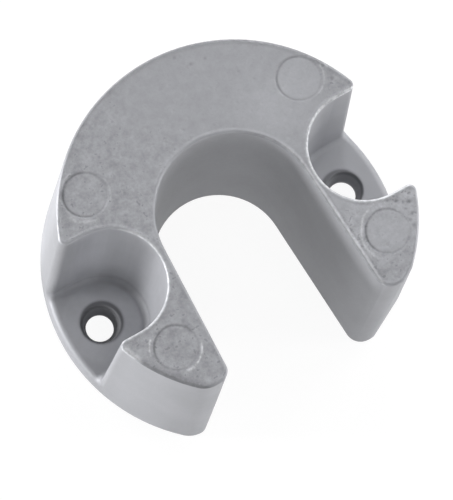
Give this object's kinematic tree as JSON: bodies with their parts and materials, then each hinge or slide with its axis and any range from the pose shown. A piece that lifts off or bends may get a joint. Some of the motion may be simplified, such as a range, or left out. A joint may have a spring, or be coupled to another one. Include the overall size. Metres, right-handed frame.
{
  "type": "sacrificial anode",
  "caption": "Thick cast horseshoe anode with an open shaft slot, open-sided screw pockets at its sides and a flat mounting face.",
  "frame": {"origin": "in the flat mounting face, midway between the screw holes, on the axis of the round rim", "axes": "+Z away from the mounting face towards the marked top face, +X through a screw hole, and the slot opens towards -Y"},
  "size_m": [0.0848, 0.0754, 0.048],
  "materials": {
    "cast_metal": "rough grey cast skin on top, smoother drafted walls, bright worn edges"
  },
  "bodies": {
    "root": {"anode_casting": "cast_metal"}
  },
  "joints": []
}
